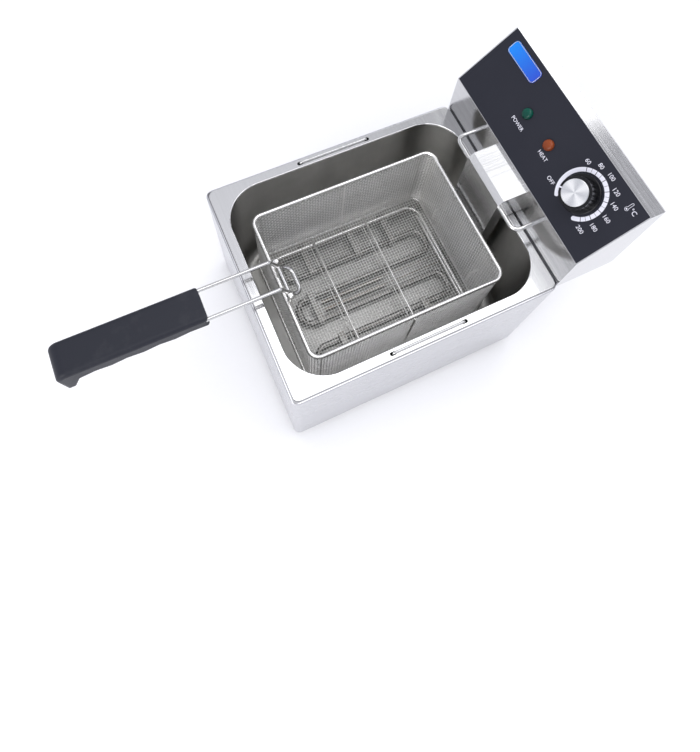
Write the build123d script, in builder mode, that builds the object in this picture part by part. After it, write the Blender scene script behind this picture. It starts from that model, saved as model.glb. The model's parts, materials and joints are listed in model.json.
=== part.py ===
from build123d import *
import math
import os

os.makedirs("parts", exist_ok=True)

# ---------------------------------------------------------------------------
# Countertop electric fryer: X is right, Y runs back to the control head and
# Z is up.  The table is z = 0 and x = 0 is the plane of symmetry.
# All sizes are in millimetres.
# ---------------------------------------------------------------------------

# lower casing
SHEET = 1.0
CASE_W = 271.0
CASE_FRONT = -164.0
CASE_BACK = 162.2
CASE_D = CASE_BACK - CASE_FRONT
CASE_Y = (CASE_BACK + CASE_FRONT) / 2
CASE_R = 9.0
CASE_Z0 = 12.0
CASE_Z1 = 207.4
FLANGE = 5.7

# oil tank
RIM_W = 265.0
RIM_L = 322.0
RIM_R = 8.0
RIM_Z = 210.0
TANK_W = 243.0
TANK_L = 303.0
TANK_Y = 1.0
TANK_R = 47.0
TANK_FLOOR = 34.0
PULL_X = 127.0
PULL_Y = -1.0
PULL_SPAN = 88.0

# basket
BASKET_Y = -1.25
BASKET_HW = 93.5
BASKET_HL = 122.25
BASKET_R = 12.0
BASKET_RIM_Z = 184.0
BASKET_FLOOR = 58.0
MESH = 1.6
RIM_WIRE = 2.5

# control head
HEAD_FRONT = 162.6
HEAD_BACK = 242.4
HEAD_Z0 = 197.0
HEAD_LIP = 268.0
SLOPE = 63.0
HEAD_TOP = HEAD_LIP + SLOPE
HEAD_W = 262.0
HEAD_T = 1.2

# heating element
PITCH = 34.0
TUBE = 4.0
TUBE_Z = 42.0


def save(builder, name):
    """Label a finished part and write it out."""
    builder.part.label = name
    export_step(builder.part, f"parts/{name}.step")


def start_plane(line):
    """Plane across the start of a bent wire."""
    return Plane(line @ 0, z_dir=line % 0)


# ===========================================================================
# Casing
# ===========================================================================
with BuildPart() as casing_shell:
    with BuildSketch(Plane.XY.offset(CASE_Z0)):
        with Locations((0, CASE_Y)):
            RectangleRounded(CASE_W, CASE_D, CASE_R)
    extrude(amount=CASE_Z1 - CASE_Z0)
    top_edges = casing_shell.faces().sort_by(Axis.Z)[-1].edges()
    fillet(top_edges, 1.2)
    # hollow inside, open at the bottom
    with BuildSketch(Plane.XY.offset(CASE_Z0)):
        with Locations((0, CASE_Y)):
            RectangleRounded(CASE_W - 2 * SHEET, CASE_D - 2 * SHEET, CASE_R - SHEET)
    extrude(amount=CASE_Z1 - CASE_Z0 - 2 * SHEET, mode=Mode.SUBTRACT)
    # window through the narrow top flange
    with BuildSketch(Plane.XY.offset(CASE_Z1 - 3 * SHEET)):
        with Locations((0, CASE_Y)):
            RectangleRounded(CASE_W - 2 * FLANGE, CASE_D - 2 * FLANGE, CASE_R)
    extrude(amount=4 * SHEET, mode=Mode.SUBTRACT)
    # cooling slots low in the back wall
    with BuildSketch(Plane.XZ.offset(-CASE_BACK)):
        with Locations((0, 42)):
            with GridLocations(16, 1, 11, 1):
                SlotOverall(24, 4, rotation=90)
    extrude(amount=2 * SHEET, both=True, mode=Mode.SUBTRACT)
save(casing_shell, "casing_shell")

FOOT_XY = [(-112, -138), (112, -138), (-112, 136), (112, 136)]

with BuildPart() as base_plate:
    with BuildSketch(Plane.XY.offset(CASE_Z0)):
        with Locations((0, CASE_Y)):
            RectangleRounded(CASE_W - 2.4, CASE_D - 2.4, CASE_R - SHEET)
        with Locations(*FOOT_XY):
            Circle(2.4, mode=Mode.SUBTRACT)
        with Locations((0, CASE_Y)):
            with GridLocations(26, 60, 6, 4):
                SlotOverall(20, 5, mode=Mode.SUBTRACT)
    extrude(amount=SHEET)
save(base_plate, "base_plate")

with BuildPart() as rubber_feet:
    with Locations(*[(x, y, CASE_Z0 / 2) for x, y in FOOT_XY]):
        Cone(bottom_radius=11, top_radius=13, height=CASE_Z0)
    chamfer(rubber_feet.edges().group_by(Axis.Z)[0], 1.0)
    with Locations(*[(x, y, 2.5) for x, y in FOOT_XY]):
        Cylinder(5, 5, mode=Mode.SUBTRACT)
    with Locations(*[(x, y, 6) for x, y in FOOT_XY]):
        Cylinder(2.2, 12, mode=Mode.SUBTRACT)
save(rubber_feet, "rubber_feet")

with BuildPart() as foot_screws:
    with Locations(*[(x, y, 3.7) for x, y in FOOT_XY]):
        Cylinder(4.2, 2.6)
    with Locations(*[(x, y, 11.5) for x, y in FOOT_XY]):
        Cylinder(2.0, 13)
    # cross recess in each head
    with Locations(*[(x, y, 2.4) for x, y in FOOT_XY]):
        Box(4, 0.9, 2, align=(Align.CENTER, Align.CENTER, Align.MIN), mode=Mode.SUBTRACT)
        Box(0.9, 4, 2, align=(Align.CENTER, Align.CENTER, Align.MIN), mode=Mode.SUBTRACT)
save(foot_screws, "foot_screws")

with BuildPart() as foot_nuts:
    with BuildSketch(Plane.XY.offset(CASE_Z0 + SHEET)):
        with Locations(*FOOT_XY):
            RegularPolygon(4.0, 6)
            Circle(2.1, mode=Mode.SUBTRACT)
    extrude(amount=3.2)
save(foot_nuts, "foot_nuts")

# shelf bracket that carries the control head behind the casing
SHELF_HW = 110.0
PIN_Y = 216.0
with BuildPart() as head_rail:
    with BuildSketch(Plane.YZ.offset(-SHELF_HW)):
        with BuildLine():
            Polyline(
                (CASE_BACK, 120),
                (CASE_BACK, HEAD_Z0),
                (228, HEAD_Z0),
                (228, HEAD_Z0 - 1.5),
                (CASE_BACK + 1.5, HEAD_Z0 - 1.5),
                (CASE_BACK + 1.5, 120),
                close=True,
            )
        make_face()
    extrude(amount=2 * SHELF_HW)
    # triangular gussets at the ends and the middle
    for gx in (-SHELF_HW, -0.75, SHELF_HW - 1.5):
        with BuildSketch(Plane.YZ.offset(gx)):
            with BuildLine():
                Polyline(
                    (CASE_BACK + 1.5, 130),
                    (CASE_BACK + 1.5, HEAD_Z0 - 1.5),
                    (222, HEAD_Z0 - 1.5),
                    close=True,
                )
            make_face()
        extrude(amount=1.5)
    with BuildSketch(Plane.XZ.offset(-CASE_BACK)):
        with Locations((-90, 128), (-30, 128), (30, 128), (90, 128)):
            Circle(2.6)
    extrude(amount=-3, mode=Mode.SUBTRACT)
    with BuildSketch(Plane.XY.offset(HEAD_Z0)):
        with Locations((-80, PIN_Y), (80, PIN_Y)):
            Circle(2.9)
    extrude(amount=-3, mode=Mode.SUBTRACT)
save(head_rail, "head_rail")

with BuildPart() as rail_rivets:
    with BuildSketch(Plane.XZ.offset(-CASE_BACK - 1.5)):
        with Locations((-90, 128), (-30, 128), (30, 128), (90, 128)):
            Circle(4.5)
    extrude(amount=-1.4)
    fillet(rail_rivets.edges().group_by(Axis.Y)[-1], 1.0)
    with BuildSketch(Plane.XZ.offset(-CASE_BACK)):
        with Locations((-90, 128), (-30, 128), (30, 128), (90, 128)):
            Circle(2.4)
    extrude(amount=-1.5)
save(rail_rivets, "rail_rivets")

with BuildPart() as locating_pins:
    with Locations((-80, PIN_Y, HEAD_Z0 + 1), (80, PIN_Y, HEAD_Z0 + 1)):
        Cylinder(2.8, 16)
    chamfer(locating_pins.edges().group_by(Axis.Z)[-1], 1.2)
save(locating_pins, "locating_pins")

# ===========================================================================
# Oil tank and its two pull-up wire handles
# ===========================================================================
with BuildPart() as pan_space:
    with BuildSketch(Plane.XY.offset(TANK_FLOOR)):
        with Locations((0, TANK_Y)):
            RectangleRounded(TANK_W, TANK_L, TANK_R)
    extrude(amount=RIM_Z - TANK_FLOOR)
    fillet(pan_space.faces().sort_by(Axis.Z)[0].edges(), 14)

with BuildPart() as pan_outside:
    with BuildSketch(Plane.XY.offset(TANK_FLOOR - 1)):
        with Locations((0, TANK_Y)):
            RectangleRounded(TANK_W + 2, TANK_L + 2, TANK_R + 1)
    extrude(amount=RIM_Z - TANK_FLOOR)
    fillet(pan_outside.faces().sort_by(Axis.Z)[0].edges(), 15)

with BuildPart() as oil_tank:
    # thin rim plate with a short turned-down edge
    with BuildSketch(Plane.XY.offset(RIM_Z - 2.6)):
        RectangleRounded(RIM_W, RIM_L, RIM_R)
    extrude(amount=2.6)
    fillet(oil_tank.faces().sort_by(Axis.Z)[-1].edges(), 0.9)
    with BuildSketch(Plane.XY.offset(RIM_Z - 2.6)):
        RectangleRounded(RIM_W - 2, RIM_L - 2, RIM_R - 1)
    extrude(amount=1.6, mode=Mode.SUBTRACT)
    add(pan_outside.part)
    add(pan_space.part, mode=Mode.SUBTRACT)
    mouth = oil_tank.edges().group_by(Axis.Z)[-1].filter_by(
        lambda e: abs(e.center().X) < TANK_W / 2 + 0.5 and abs(e.center().Y - TANK_Y) < TANK_L / 2 + 0.5
    )
    fillet(mouth, 0.8)
    # two holes in each long rim for the wire handles
    with BuildSketch(Plane.XY.offset(RIM_Z)):
        with Locations((0, PULL_Y)):
            with GridLocations(2 * PULL_X, PULL_SPAN, 2, 2):
                SlotOverall(7.6, 4.6, rotation=90)
    extrude(amount=-3, mode=Mode.SUBTRACT)
save(oil_tank, "oil_tank")

WIRE_Z = RIM_Z + 1.8
for side, sx in (("left", -1), ("right", 1)):
    with BuildPart() as tank_handle:
        px = sx * PULL_X
        y0 = PULL_Y - PULL_SPAN / 2
        y1 = PULL_Y + PULL_SPAN / 2
        with BuildLine() as pull_path:
            FilletPolyline(
                (px, y0 + 7, 172),
                (px, y0, 172),
                (px, y0, WIRE_Z),
                (px, y1, WIRE_Z),
                (px, y1, 172),
                (px, y1 - 7, 172),
                radius=3.2,
            )
        with BuildSketch(start_plane(pull_path.line)):
            Circle(1.5)
        sweep()
    save(tank_handle, f"tank_handle_{side}")

# ===========================================================================
# Frying basket
# ===========================================================================
with BuildPart() as basket_rim:
    with BuildLine() as rim_path:
        FilletPolyline(
            (0, BASKET_Y - BASKET_HL, BASKET_RIM_Z),
            (BASKET_HW, BASKET_Y - BASKET_HL, BASKET_RIM_Z),
            (BASKET_HW, BASKET_Y + BASKET_HL, BASKET_RIM_Z),
            (0, BASKET_Y + BASKET_HL, BASKET_RIM_Z),
            radius=BASKET_R,
        )
    with BuildSketch(start_plane(rim_path.line)):
        Circle(RIM_WIRE)
    sweep()
    mirror(about=Plane.YZ)
save(basket_rim, "basket_rim")

WALL_TOP = BASKET_RIM_Z - 2.6
WALL_BOT = BASKET_FLOOR + MESH


def wall_ring():
    """Full height ring of woven mesh, before it is parted into four walls."""
    with BuildPart() as ring:
        with BuildSketch(Plane.XY.offset(WALL_BOT)):
            with Locations((0, BASKET_Y)):
                RectangleRounded(2 * BASKET_HW + MESH, 2 * BASKET_HL + MESH, BASKET_R + MESH / 2)
                RectangleRounded(
                    2 * BASKET_HW - MESH,
                    2 * BASKET_HL - MESH,
                    BASKET_R - MESH / 2,
                    mode=Mode.SUBTRACT,
                )
        extrude(amount=WALL_TOP - WALL_BOT)
    return ring.part


mesh_ring = wall_ring()
WALL_SPLIT = BASKET_HL - BASKET_R
for name, box_pos, box_size in (
    ("basket_mesh_left", (-BASKET_HW, BASKET_Y, 120), (12, 2 * WALL_SPLIT, 160)),
    ("basket_mesh_right", (BASKET_HW, BASKET_Y, 120), (12, 2 * WALL_SPLIT, 160)),
    ("basket_mesh_front", (0, BASKET_Y - WALL_SPLIT - 20, 120), (240, 40, 160)),
    ("basket_mesh_rear", (0, BASKET_Y + WALL_SPLIT + 20, 120), (240, 40, 160)),
):
    with BuildPart() as mesh_wall:
        with Locations(box_pos):
            Box(*box_size)
        add(mesh_ring, mode=Mode.INTERSECT)
    save(mesh_wall, name)

with BuildPart() as basket_mesh_bottom:
    with BuildSketch(Plane.XY.offset(BASKET_FLOOR)):
        with Locations((0, BASKET_Y)):
            RectangleRounded(2 * BASKET_HW + MESH, 2 * BASKET_HL + MESH, BASKET_R + MESH / 2)
    extrude(amount=MESH)
save(basket_mesh_bottom, "basket_mesh_bottom")

# loop of wire around the bottom, with a second, rounder loop inside it
FRAME_R = 2.0
FRAME_Z = BASKET_FLOOR - FRAME_R
INNER_LOOP_X = 83.0
INNER_LOOP_FRONT = -112.0
INNER_LOOP_REAR = 111.8
INNER_LOOP_R = 18.0
with BuildPart() as basket_bottom_frame:
    with BuildLine() as frame_path:
        FilletPolyline(
            (0, BASKET_Y - BASKET_HL - 2, FRAME_Z),
            (BASKET_HW + 0.5, BASKET_Y - BASKET_HL - 2, FRAME_Z),
            (BASKET_HW + 0.5, BASKET_Y + BASKET_HL + 0.5, FRAME_Z),
            (0, BASKET_Y + BASKET_HL + 0.5, FRAME_Z),
            radius=BASKET_R,
        )
    with BuildSketch(start_plane(frame_path.line)):
        Circle(FRAME_R)
    sweep()
    with BuildLine() as inner_path:
        FilletPolyline(
            (0, INNER_LOOP_FRONT, FRAME_Z),
            (INNER_LOOP_X, INNER_LOOP_FRONT, FRAME_Z),
            (INNER_LOOP_X, INNER_LOOP_REAR, FRAME_Z),
            (0, INNER_LOOP_REAR, FRAME_Z),
            radius=INNER_LOOP_R,
        )
    with BuildSketch(start_plane(inner_path.line)):
        Circle(FRAME_R)
    sweep()
    mirror(about=Plane.YZ)
save(basket_bottom_frame, "basket_bottom_frame")

# thin wires across the bottom: of each pair the front one lies under the mesh
PAIR_Y = (-48.0, 32.0)
PAIR_GAP = 5.6
CROSS_R = 1.1
CROSS_TOP_Z = BASKET_FLOOR + MESH + CROSS_R + 0.05
CROSS_LOW_Z = BASKET_FLOOR - CROSS_R - 0.05
with BuildPart() as basket_bottom_wires:
    with Locations(*[(0, y + PAIR_GAP / 2, CROSS_TOP_Z) for y in PAIR_Y]):
        Cylinder(CROSS_R, 2 * BASKET_HW - 2 * MESH - 1, rotation=(0, 90, 0))
    with Locations(*[(0, y - PAIR_GAP / 2, CROSS_LOW_Z) for y in PAIR_Y]):
        Cylinder(CROSS_R, 2 * (INNER_LOOP_X - FRAME_R - 0.3), rotation=(0, 90, 0))
    with Locations((0, INNER_LOOP_REAR - PAIR_GAP, CROSS_TOP_Z)):
        Cylinder(CROSS_R, 2 * (INNER_LOOP_X - INNER_LOOP_R), rotation=(0, 90, 0))
save(basket_bottom_wires, "basket_bottom_wires")

# one upright stay on the outside of each side wall
STAY_R = 1.5
STAY_X = BASKET_HW + MESH / 2 + STAY_R + 0.05
STAY_Y = 2.0
with BuildPart() as basket_side_wires:
    for sx in (-STAY_X, STAY_X):
        with Locations((sx, STAY_Y, (WALL_TOP + BASKET_FLOOR) / 2)):
            Cylinder(STAY_R, WALL_TOP - BASKET_FLOOR)
save(basket_side_wires, "basket_side_wires")

# two hooks on the back wall that hang the basket on the drain wire
HOOK_X = 50.0
HOOK_R = 2.0
HOOK_Y = BASKET_Y + BASKET_HL + MESH / 2 + HOOK_R + 0.1
HOOK_TOP = 90.0
HOOK_REACH = 16.0
with BuildPart() as basket_hooks:
    for hx in (-HOOK_X, HOOK_X):
        with BuildLine() as hook_path:
            FilletPolyline(
                (hx, HOOK_Y, HOOK_TOP - 26),
                (hx, HOOK_Y, HOOK_TOP),
                (hx, HOOK_Y + HOOK_REACH, HOOK_TOP),
                (hx, HOOK_Y + HOOK_REACH, HOOK_TOP - 14),
                radius=5,
            )
        with BuildSketch(start_plane(hook_path.line)):
            Circle(HOOK_R)
        sweep()
save(basket_hooks, "basket_hooks")

# --- handle: two posts on the rim, a cross pin, a closed wire loop and a grip
PIVOT_Y = -119.5
PIVOT_Z = 204.0
LEG_X = 17.0
LEG_Z = 224.0
LEG_R = 2.4
POST_X = 21.8
EYE_R = 4.2
PIN_R = 2.0
with BuildPart() as handle_posts:
    for hx in (-POST_X, POST_X):
        with BuildLine() as post_path:
            Line((hx, PIVOT_Y, 150), (hx, PIVOT_Y, PIVOT_Z - EYE_R + 1))
        with BuildSketch(start_plane(post_path.line)):
            Circle(2.0)
        sweep()
        with Locations((hx, PIVOT_Y, PIVOT_Z)):
            Cylinder(EYE_R, 4.0, rotation=(0, 90, 0))
            Cylinder(PIN_R + 0.06, 6.0, rotation=(0, 90, 0), mode=Mode.SUBTRACT)
    # clear the rim wire, to which the posts are welded
    add(basket_rim.part, mode=Mode.SUBTRACT)
    add(mesh_ring, mode=Mode.SUBTRACT)
save(handle_posts, "handle_posts")

GRIP_FRONT = -211.0
GRIP_BACK = -372.0
GRIP_EDGE = 5.0
LOOP_R = 9.0
with BuildPart() as handle_wire:
    with BuildLine() as leg_path:
        FilletPolyline(
            (-LEG_X, GRIP_FRONT - 70, LEG_Z),
            (-LEG_X, -129, LEG_Z),
            (-LEG_X, -115, 194),
            (-LEG_X, -104.5, 186.5),
            (LEG_X, -104.5, 186.5),
            (LEG_X, -115, 194),
            (LEG_X, -129, LEG_Z),
            (LEG_X, GRIP_FRONT - 70, LEG_Z),
            radius=[5, 5, LOOP_R, LOOP_R, 5, 5],
        )
    with BuildSketch(start_plane(leg_path.line)):
        Circle(LEG_R)
    sweep()
    # pivot pin through both legs
    with Locations((0, PIVOT_Y, PIVOT_Z)):
        Cylinder(PIN_R, 2 * POST_X + 6, rotation=(0, 90, 0))
save(handle_wire, "handle_wire")

with BuildPart() as handle_grip:
    # side outline with shallow finger grooves and a hooked end
    with BuildSketch(Plane.YZ.offset(-20)) as grip_side:
        waves = [(GRIP_BACK + 37 + 17 * i, 211 - 3 * (i % 2)) for i in range(7)]
        with BuildLine():
            Polyline(
                (GRIP_FRONT, 209.5),
                (GRIP_FRONT, 232),
                (GRIP_BACK, 233),
                (GRIP_BACK + 2, 190),
                (GRIP_BACK + 12, 190),
                (GRIP_BACK + 21, 208),
                *waves,
                close=True,
            )
        make_face()
        corners = grip_side.vertices()
        fillet(corners.filter_by(lambda v: abs(v.X - GRIP_BACK) < 1), 12)
        fillet(corners.filter_by(lambda v: v.Y < 200), 4.5)
        fillet(corners.filter_by(lambda v: 205 < v.Y < 212 and v.X < GRIP_FRONT - 5), 11)
        fillet(corners.filter_by(lambda v: abs(v.X - GRIP_FRONT) < 1), 4)
    extrude(amount=40)
    fillet(handle_grip.edges().filter_by(lambda e: abs(e.center().X) > 19.9), GRIP_EDGE)
    # sockets for the two wires
    with Locations(*[(x, GRIP_FRONT - 36, LEG_Z) for x in (-LEG_X, LEG_X)]):
        Cylinder(2.5, 73, rotation=(90, 0, 0), mode=Mode.SUBTRACT)
save(handle_grip, "handle_grip")

# ===========================================================================
# Control head
# ===========================================================================
HW = HEAD_W / 2
LIP_PT = (HEAD_FRONT, HEAD_LIP)
CREST_PT = (HEAD_FRONT + SLOPE, HEAD_TOP)

# frame of the sloping panel: x across, y up the slope, z out of the face
panel_plane = Plane(
    origin=(0, HEAD_FRONT, HEAD_LIP),
    x_dir=(1, 0, 0),
    z_dir=(0, -math.sqrt(0.5), math.sqrt(0.5)),
)
PANEL_L = SLOPE * math.sqrt(2)
DIAL_X = 71.0
DIAL_S = 44.8
DRAIN_X = 66.0
DRAIN_Z = 250.0
DRAIN_BAR_Y = 129.4
RISER_X = 20.0
RISER_Z = 236.0
CAPILLARY_Z = 226.0
GREEN_LAMP = (-39.0, 44.8)
AMBER_LAMP = (5.6, 44.8)

with BuildPart() as head_housing:
    with BuildSketch(Plane.YZ.offset(-HW)) as head_profile:
        with BuildLine():
            Polyline(
                (HEAD_FRONT, HEAD_Z0),
                LIP_PT,
                CREST_PT,
                (HEAD_BACK, HEAD_TOP),
                (HEAD_BACK, HEAD_Z0),
                close=True,
            )
        make_face()
    extrude(amount=HEAD_W)
    # hollow, open at the back and underneath
    with BuildSketch(Plane.YZ.offset(-HW + HEAD_T)):
        with BuildLine():
            Polyline(
                (HEAD_FRONT + HEAD_T, HEAD_Z0),
                (HEAD_FRONT + HEAD_T, HEAD_LIP - 0.5),
                (CREST_PT[0] + 0.5, HEAD_TOP - HEAD_T),
                (HEAD_BACK, HEAD_TOP - HEAD_T),
                (HEAD_BACK, HEAD_Z0),
                close=True,
            )
        make_face()
    extrude(amount=HEAD_W - 2 * HEAD_T, mode=Mode.SUBTRACT)
    # recess for the panel plate, then the window behind it
    with BuildSketch(panel_plane.offset(-1.5)):
        with Locations((0, PANEL_L / 2)):
            Rectangle(HEAD_W - 2 * HEAD_T, PANEL_L - 1.0)
    extrude(amount=4, mode=Mode.SUBTRACT)
    with BuildSketch(panel_plane.offset(-6)):
        with Locations((0, PANEL_L / 2)):
            Rectangle(HEAD_W - 16, PANEL_L - 14)
    extrude(amount=8, mode=Mode.SUBTRACT)
    # holes in the front wall: drain wire, element tubes, two thin capillaries
    with BuildSketch(Plane.XZ.offset(-HEAD_FRONT)):
        with Locations((-DRAIN_X, DRAIN_Z), (DRAIN_X, DRAIN_Z)):
            Circle(2.8)
        with Locations((-RISER_X, RISER_Z), (RISER_X, RISER_Z)):
            Circle(4.6)
        with Locations((0, CAPILLARY_Z)):
            SlotOverall(18, 5)
    extrude(amount=-3, mode=Mode.SUBTRACT)
save(head_housing, "head_housing")

# black panel plate that lies in the recess
with BuildPart() as control_panel:
    with BuildSketch(panel_plane.offset(-1.5)):
        with Locations((0, PANEL_L / 2)):
            Rectangle(HEAD_W - 2 * HEAD_T - 0.4, PANEL_L - 1.4)
        with Locations((DIAL_X, DIAL_S)):
            Circle(5.2, mode=Mode.SUBTRACT)
        with Locations(GREEN_LAMP, AMBER_LAMP):
            Circle(5.4, mode=Mode.SUBTRACT)
    extrude(amount=1.5)
save(control_panel, "control_panel")

with BuildPart() as name_badge:
    with BuildSketch(panel_plane):
        with Locations((-91, 74)):
            RectangleRounded(54, 17, 5)
    extrude(amount=0.8)
    fillet(name_badge.faces().sort_by(Axis.Z)[-1].edges(), 0.3)
save(name_badge, "name_badge")

# --- pilot lamps: domed lens in front, round body with a nut behind
for name, spot in (("power_lamp", GREEN_LAMP), ("heat_lamp", AMBER_LAMP)):
    with BuildPart() as pilot_lamp:
        with BuildSketch(panel_plane):
            with Locations(spot):
                Circle(6.6)
        extrude(amount=4.6)
        fillet(pilot_lamp.edges().sort_by(Axis.Z)[-1], 3.6)
        with BuildSketch(panel_plane):
            with Locations(spot):
                Circle(5.1)
        extrude(amount=-18)
    save(pilot_lamp, name)

with BuildPart() as lamp_nuts:
    with BuildSketch(panel_plane.offset(-1.6)):
        with Locations(GREEN_LAMP, AMBER_LAMP):
            Circle(7.4)
            Circle(5.3, mode=Mode.SUBTRACT)
    extrude(amount=-2.5)
save(lamp_nuts, "lamp_nuts")

# --- thermostat behind the dial
with BuildPart() as thermostat_body:
    with BuildSketch(panel_plane.offset(-5)):
        with Locations((DIAL_X, DIAL_S)):
            RectangleRounded(40, 40, 3)
    extrude(amount=-24)
    with BuildSketch(panel_plane.offset(-5)):
        with Locations((DIAL_X, DIAL_S)):
            Circle(4.8)
    extrude(amount=7)
    with BuildSketch(panel_plane.offset(2)):
        with Locations((DIAL_X, DIAL_S)):
            Circle(3.06)
    extrude(amount=-16, mode=Mode.SUBTRACT)
    # screw terminals on the far side
    with BuildSketch(panel_plane.offset(-29)):
        with Locations((DIAL_X, DIAL_S)):
            with GridLocations(12, 22, 3, 2):
                Rectangle(6, 4)
    extrude(amount=-4)
save(thermostat_body, "thermostat_body")

with BuildPart() as thermostat_nut:
    with BuildSketch(panel_plane.offset(-1.6)):
        with Locations((DIAL_X, DIAL_S)):
            RegularPolygon(8.5, 6)
            Circle(5.0, mode=Mode.SUBTRACT)
    extrude(amount=-3)
save(thermostat_nut, "thermostat_nut")

# --- dial: shaft, fluted black knob, bright cap and a white pointer
with BuildPart() as dial_shaft:
    with BuildSketch(panel_plane.offset(-12)):
        with Locations((DIAL_X, DIAL_S)):
            Circle(3.0)
    extrude(amount=27)
    with BuildSketch(panel_plane.offset(6)):
        with Locations((DIAL_X, DIAL_S + 4.2)):
            Rectangle(8, 4)
    extrude(amount=12, mode=Mode.SUBTRACT)
save(dial_shaft, "dial_shaft")

with BuildPart() as dial_knob:
    with BuildSketch(panel_plane.offset(0.6)):
        with Locations((DIAL_X, DIAL_S)):
            Circle(22.0)
    extrude(amount=3.4)
    with BuildSketch(panel_plane.offset(4.0)):
        with Locations((DIAL_X, DIAL_S)):
            Circle(18.6)
    extrude(amount=16.0, taper=3)
    skirt_edge = dial_knob.edges().filter_by(GeomType.CIRCLE).filter_by(
        lambda e: e.radius > 21.9
    )
    fillet(skirt_edge.sort_by(Axis.Z)[-1], 1.2)
    # hand grip flutes around the upper part
    with BuildSketch(panel_plane.offset(6.0)):
        with Locations((DIAL_X, DIAL_S)):
            with PolarLocations(19.1, 24):
                Circle(1.5)
    extrude(amount=15, mode=Mode.SUBTRACT)
    # hollow underneath and bore for the shaft
    with BuildSketch(panel_plane.offset(0.6)):
        with Locations((DIAL_X, DIAL_S)):
            Circle(15.0)
            Circle(6.0, mode=Mode.SUBTRACT)
    extrude(amount=11, mode=Mode.SUBTRACT)
    with BuildSketch(panel_plane.offset(0.6)):
        with Locations((DIAL_X, DIAL_S)):
            Circle(5.2)
    extrude(amount=3.0, mode=Mode.SUBTRACT)
    with BuildSketch(panel_plane):
        with Locations((DIAL_X, DIAL_S)):
            Circle(3.05)
    extrude(amount=15.2, mode=Mode.SUBTRACT)
save(dial_knob, "dial_knob")

with BuildPart() as dial_cap:
    with BuildSketch(panel_plane.offset(20.05)):
        with Locations((DIAL_X, DIAL_S)):
            Circle(14.7)
    extrude(amount=1.4)
    chamfer(dial_cap.edges().sort_by(Axis.Z)[-1], 0.5)
save(dial_cap, "dial_cap")

# the pointer lies on the knob's face, beside the cap, and points at OFF
OFF_ANGLE = 213.0
with BuildPart() as dial_pointer:
    with BuildSketch(panel_plane.offset(20.05)):
        with Locations((DIAL_X, DIAL_S)):
            with PolarLocations(16.2, 1, start_angle=OFF_ANGLE):
                Rectangle(2.6, 1.5)
    extrude(amount=0.5)
save(dial_pointer, "dial_pointer")

# --- covers, with a screw in each corner
COVER_X = HW - 5.6
COVER_Z = (HEAD_TOP + HEAD_Z0) / 2
COVER_DZ = 55.0
REAR_SCREWS = [(x, COVER_Z + dz) for x in (-COVER_X, COVER_X) for dz in (-COVER_DZ, COVER_DZ)]
BOTTOM_SCREWS = [(x, y) for x in (7 - HW, HW - 7) for y in (172, 232)]
GLAND = (-92.0, 226.0)
RESET = (60.0, 226.0)
with BuildPart() as rear_cover:
    with BuildSketch(Plane.XZ.offset(-HEAD_BACK)):
        with Locations((0, COVER_Z)):
            Rectangle(HEAD_W - 0.4, HEAD_TOP - HEAD_Z0 - 0.4)
        with Locations(GLAND):
            Circle(9.2, mode=Mode.SUBTRACT)
        with Locations(RESET):
            Circle(6.3, mode=Mode.SUBTRACT)
        with Locations((0, 300)):
            with GridLocations(12, 1, 13, 1):
                SlotOverall(22, 4, rotation=90, mode=Mode.SUBTRACT)
        with Locations(*REAR_SCREWS):
            Circle(1.9, mode=Mode.SUBTRACT)
    extrude(amount=-1.2)
save(rear_cover, "rear_cover")

# clinched blocks in the corners of the housing take the cover screws
with BuildPart() as screw_blocks:
    with Locations(*[(x, HEAD_BACK - 4.1, z) for x, z in REAR_SCREWS]):
        Box(8, 8, 8)
        Cylinder(1.7, 14, rotation=(90, 0, 0), mode=Mode.SUBTRACT)
save(screw_blocks, "screw_blocks")

with BuildPart() as rear_screws:
    with BuildSketch(Plane.XZ.offset(-HEAD_BACK - 1.2)):
        with Locations(*REAR_SCREWS):
            Circle(3.6)
    extrude(amount=-2.2)
    fillet(rear_screws.edges().group_by(Axis.Y)[-1], 1.2)
    with BuildSketch(Plane.XZ.offset(-HEAD_BACK - 1.2)):
        with Locations(*REAR_SCREWS):
            Circle(1.6)
    extrude(amount=8)
    with BuildSketch(Plane.XZ.offset(-HEAD_BACK - 3.6)):
        with Locations(*REAR_SCREWS):
            Rectangle(4, 0.8)
            Rectangle(0.8, 4)
    extrude(amount=1.4, mode=Mode.SUBTRACT)
save(rear_screws, "rear_screws")

with BuildPart() as bottom_cover:
    with BuildSketch(Plane.XY.offset(HEAD_Z0)):
        with Locations((0, (HEAD_FRONT + HEAD_T + HEAD_BACK) / 2)):
            Rectangle(HEAD_W - 2 * HEAD_T - 0.4, HEAD_BACK - HEAD_FRONT - HEAD_T - 0.8)
        with Locations((-80, PIN_Y), (80, PIN_Y)):
            Circle(3.4, mode=Mode.SUBTRACT)
        with Locations((0, 205)):
            with GridLocations(14, 1, 8, 1):
                SlotOverall(26, 4, rotation=90, mode=Mode.SUBTRACT)
        with Locations(*BOTTOM_SCREWS):
            Circle(1.8, mode=Mode.SUBTRACT)
    extrude(amount=1.2)
save(bottom_cover, "bottom_cover")

with BuildPart() as bottom_screws:
    with BuildSketch(Plane.XY.offset(HEAD_Z0)):
        with Locations(*BOTTOM_SCREWS):
            Circle(3.4)
    extrude(amount=-1.8)
    with BuildSketch(Plane.XY.offset(HEAD_Z0)):
        with Locations(*BOTTOM_SCREWS):
            Circle(1.6)
    extrude(amount=6)
save(bottom_screws, "bottom_screws")

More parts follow.
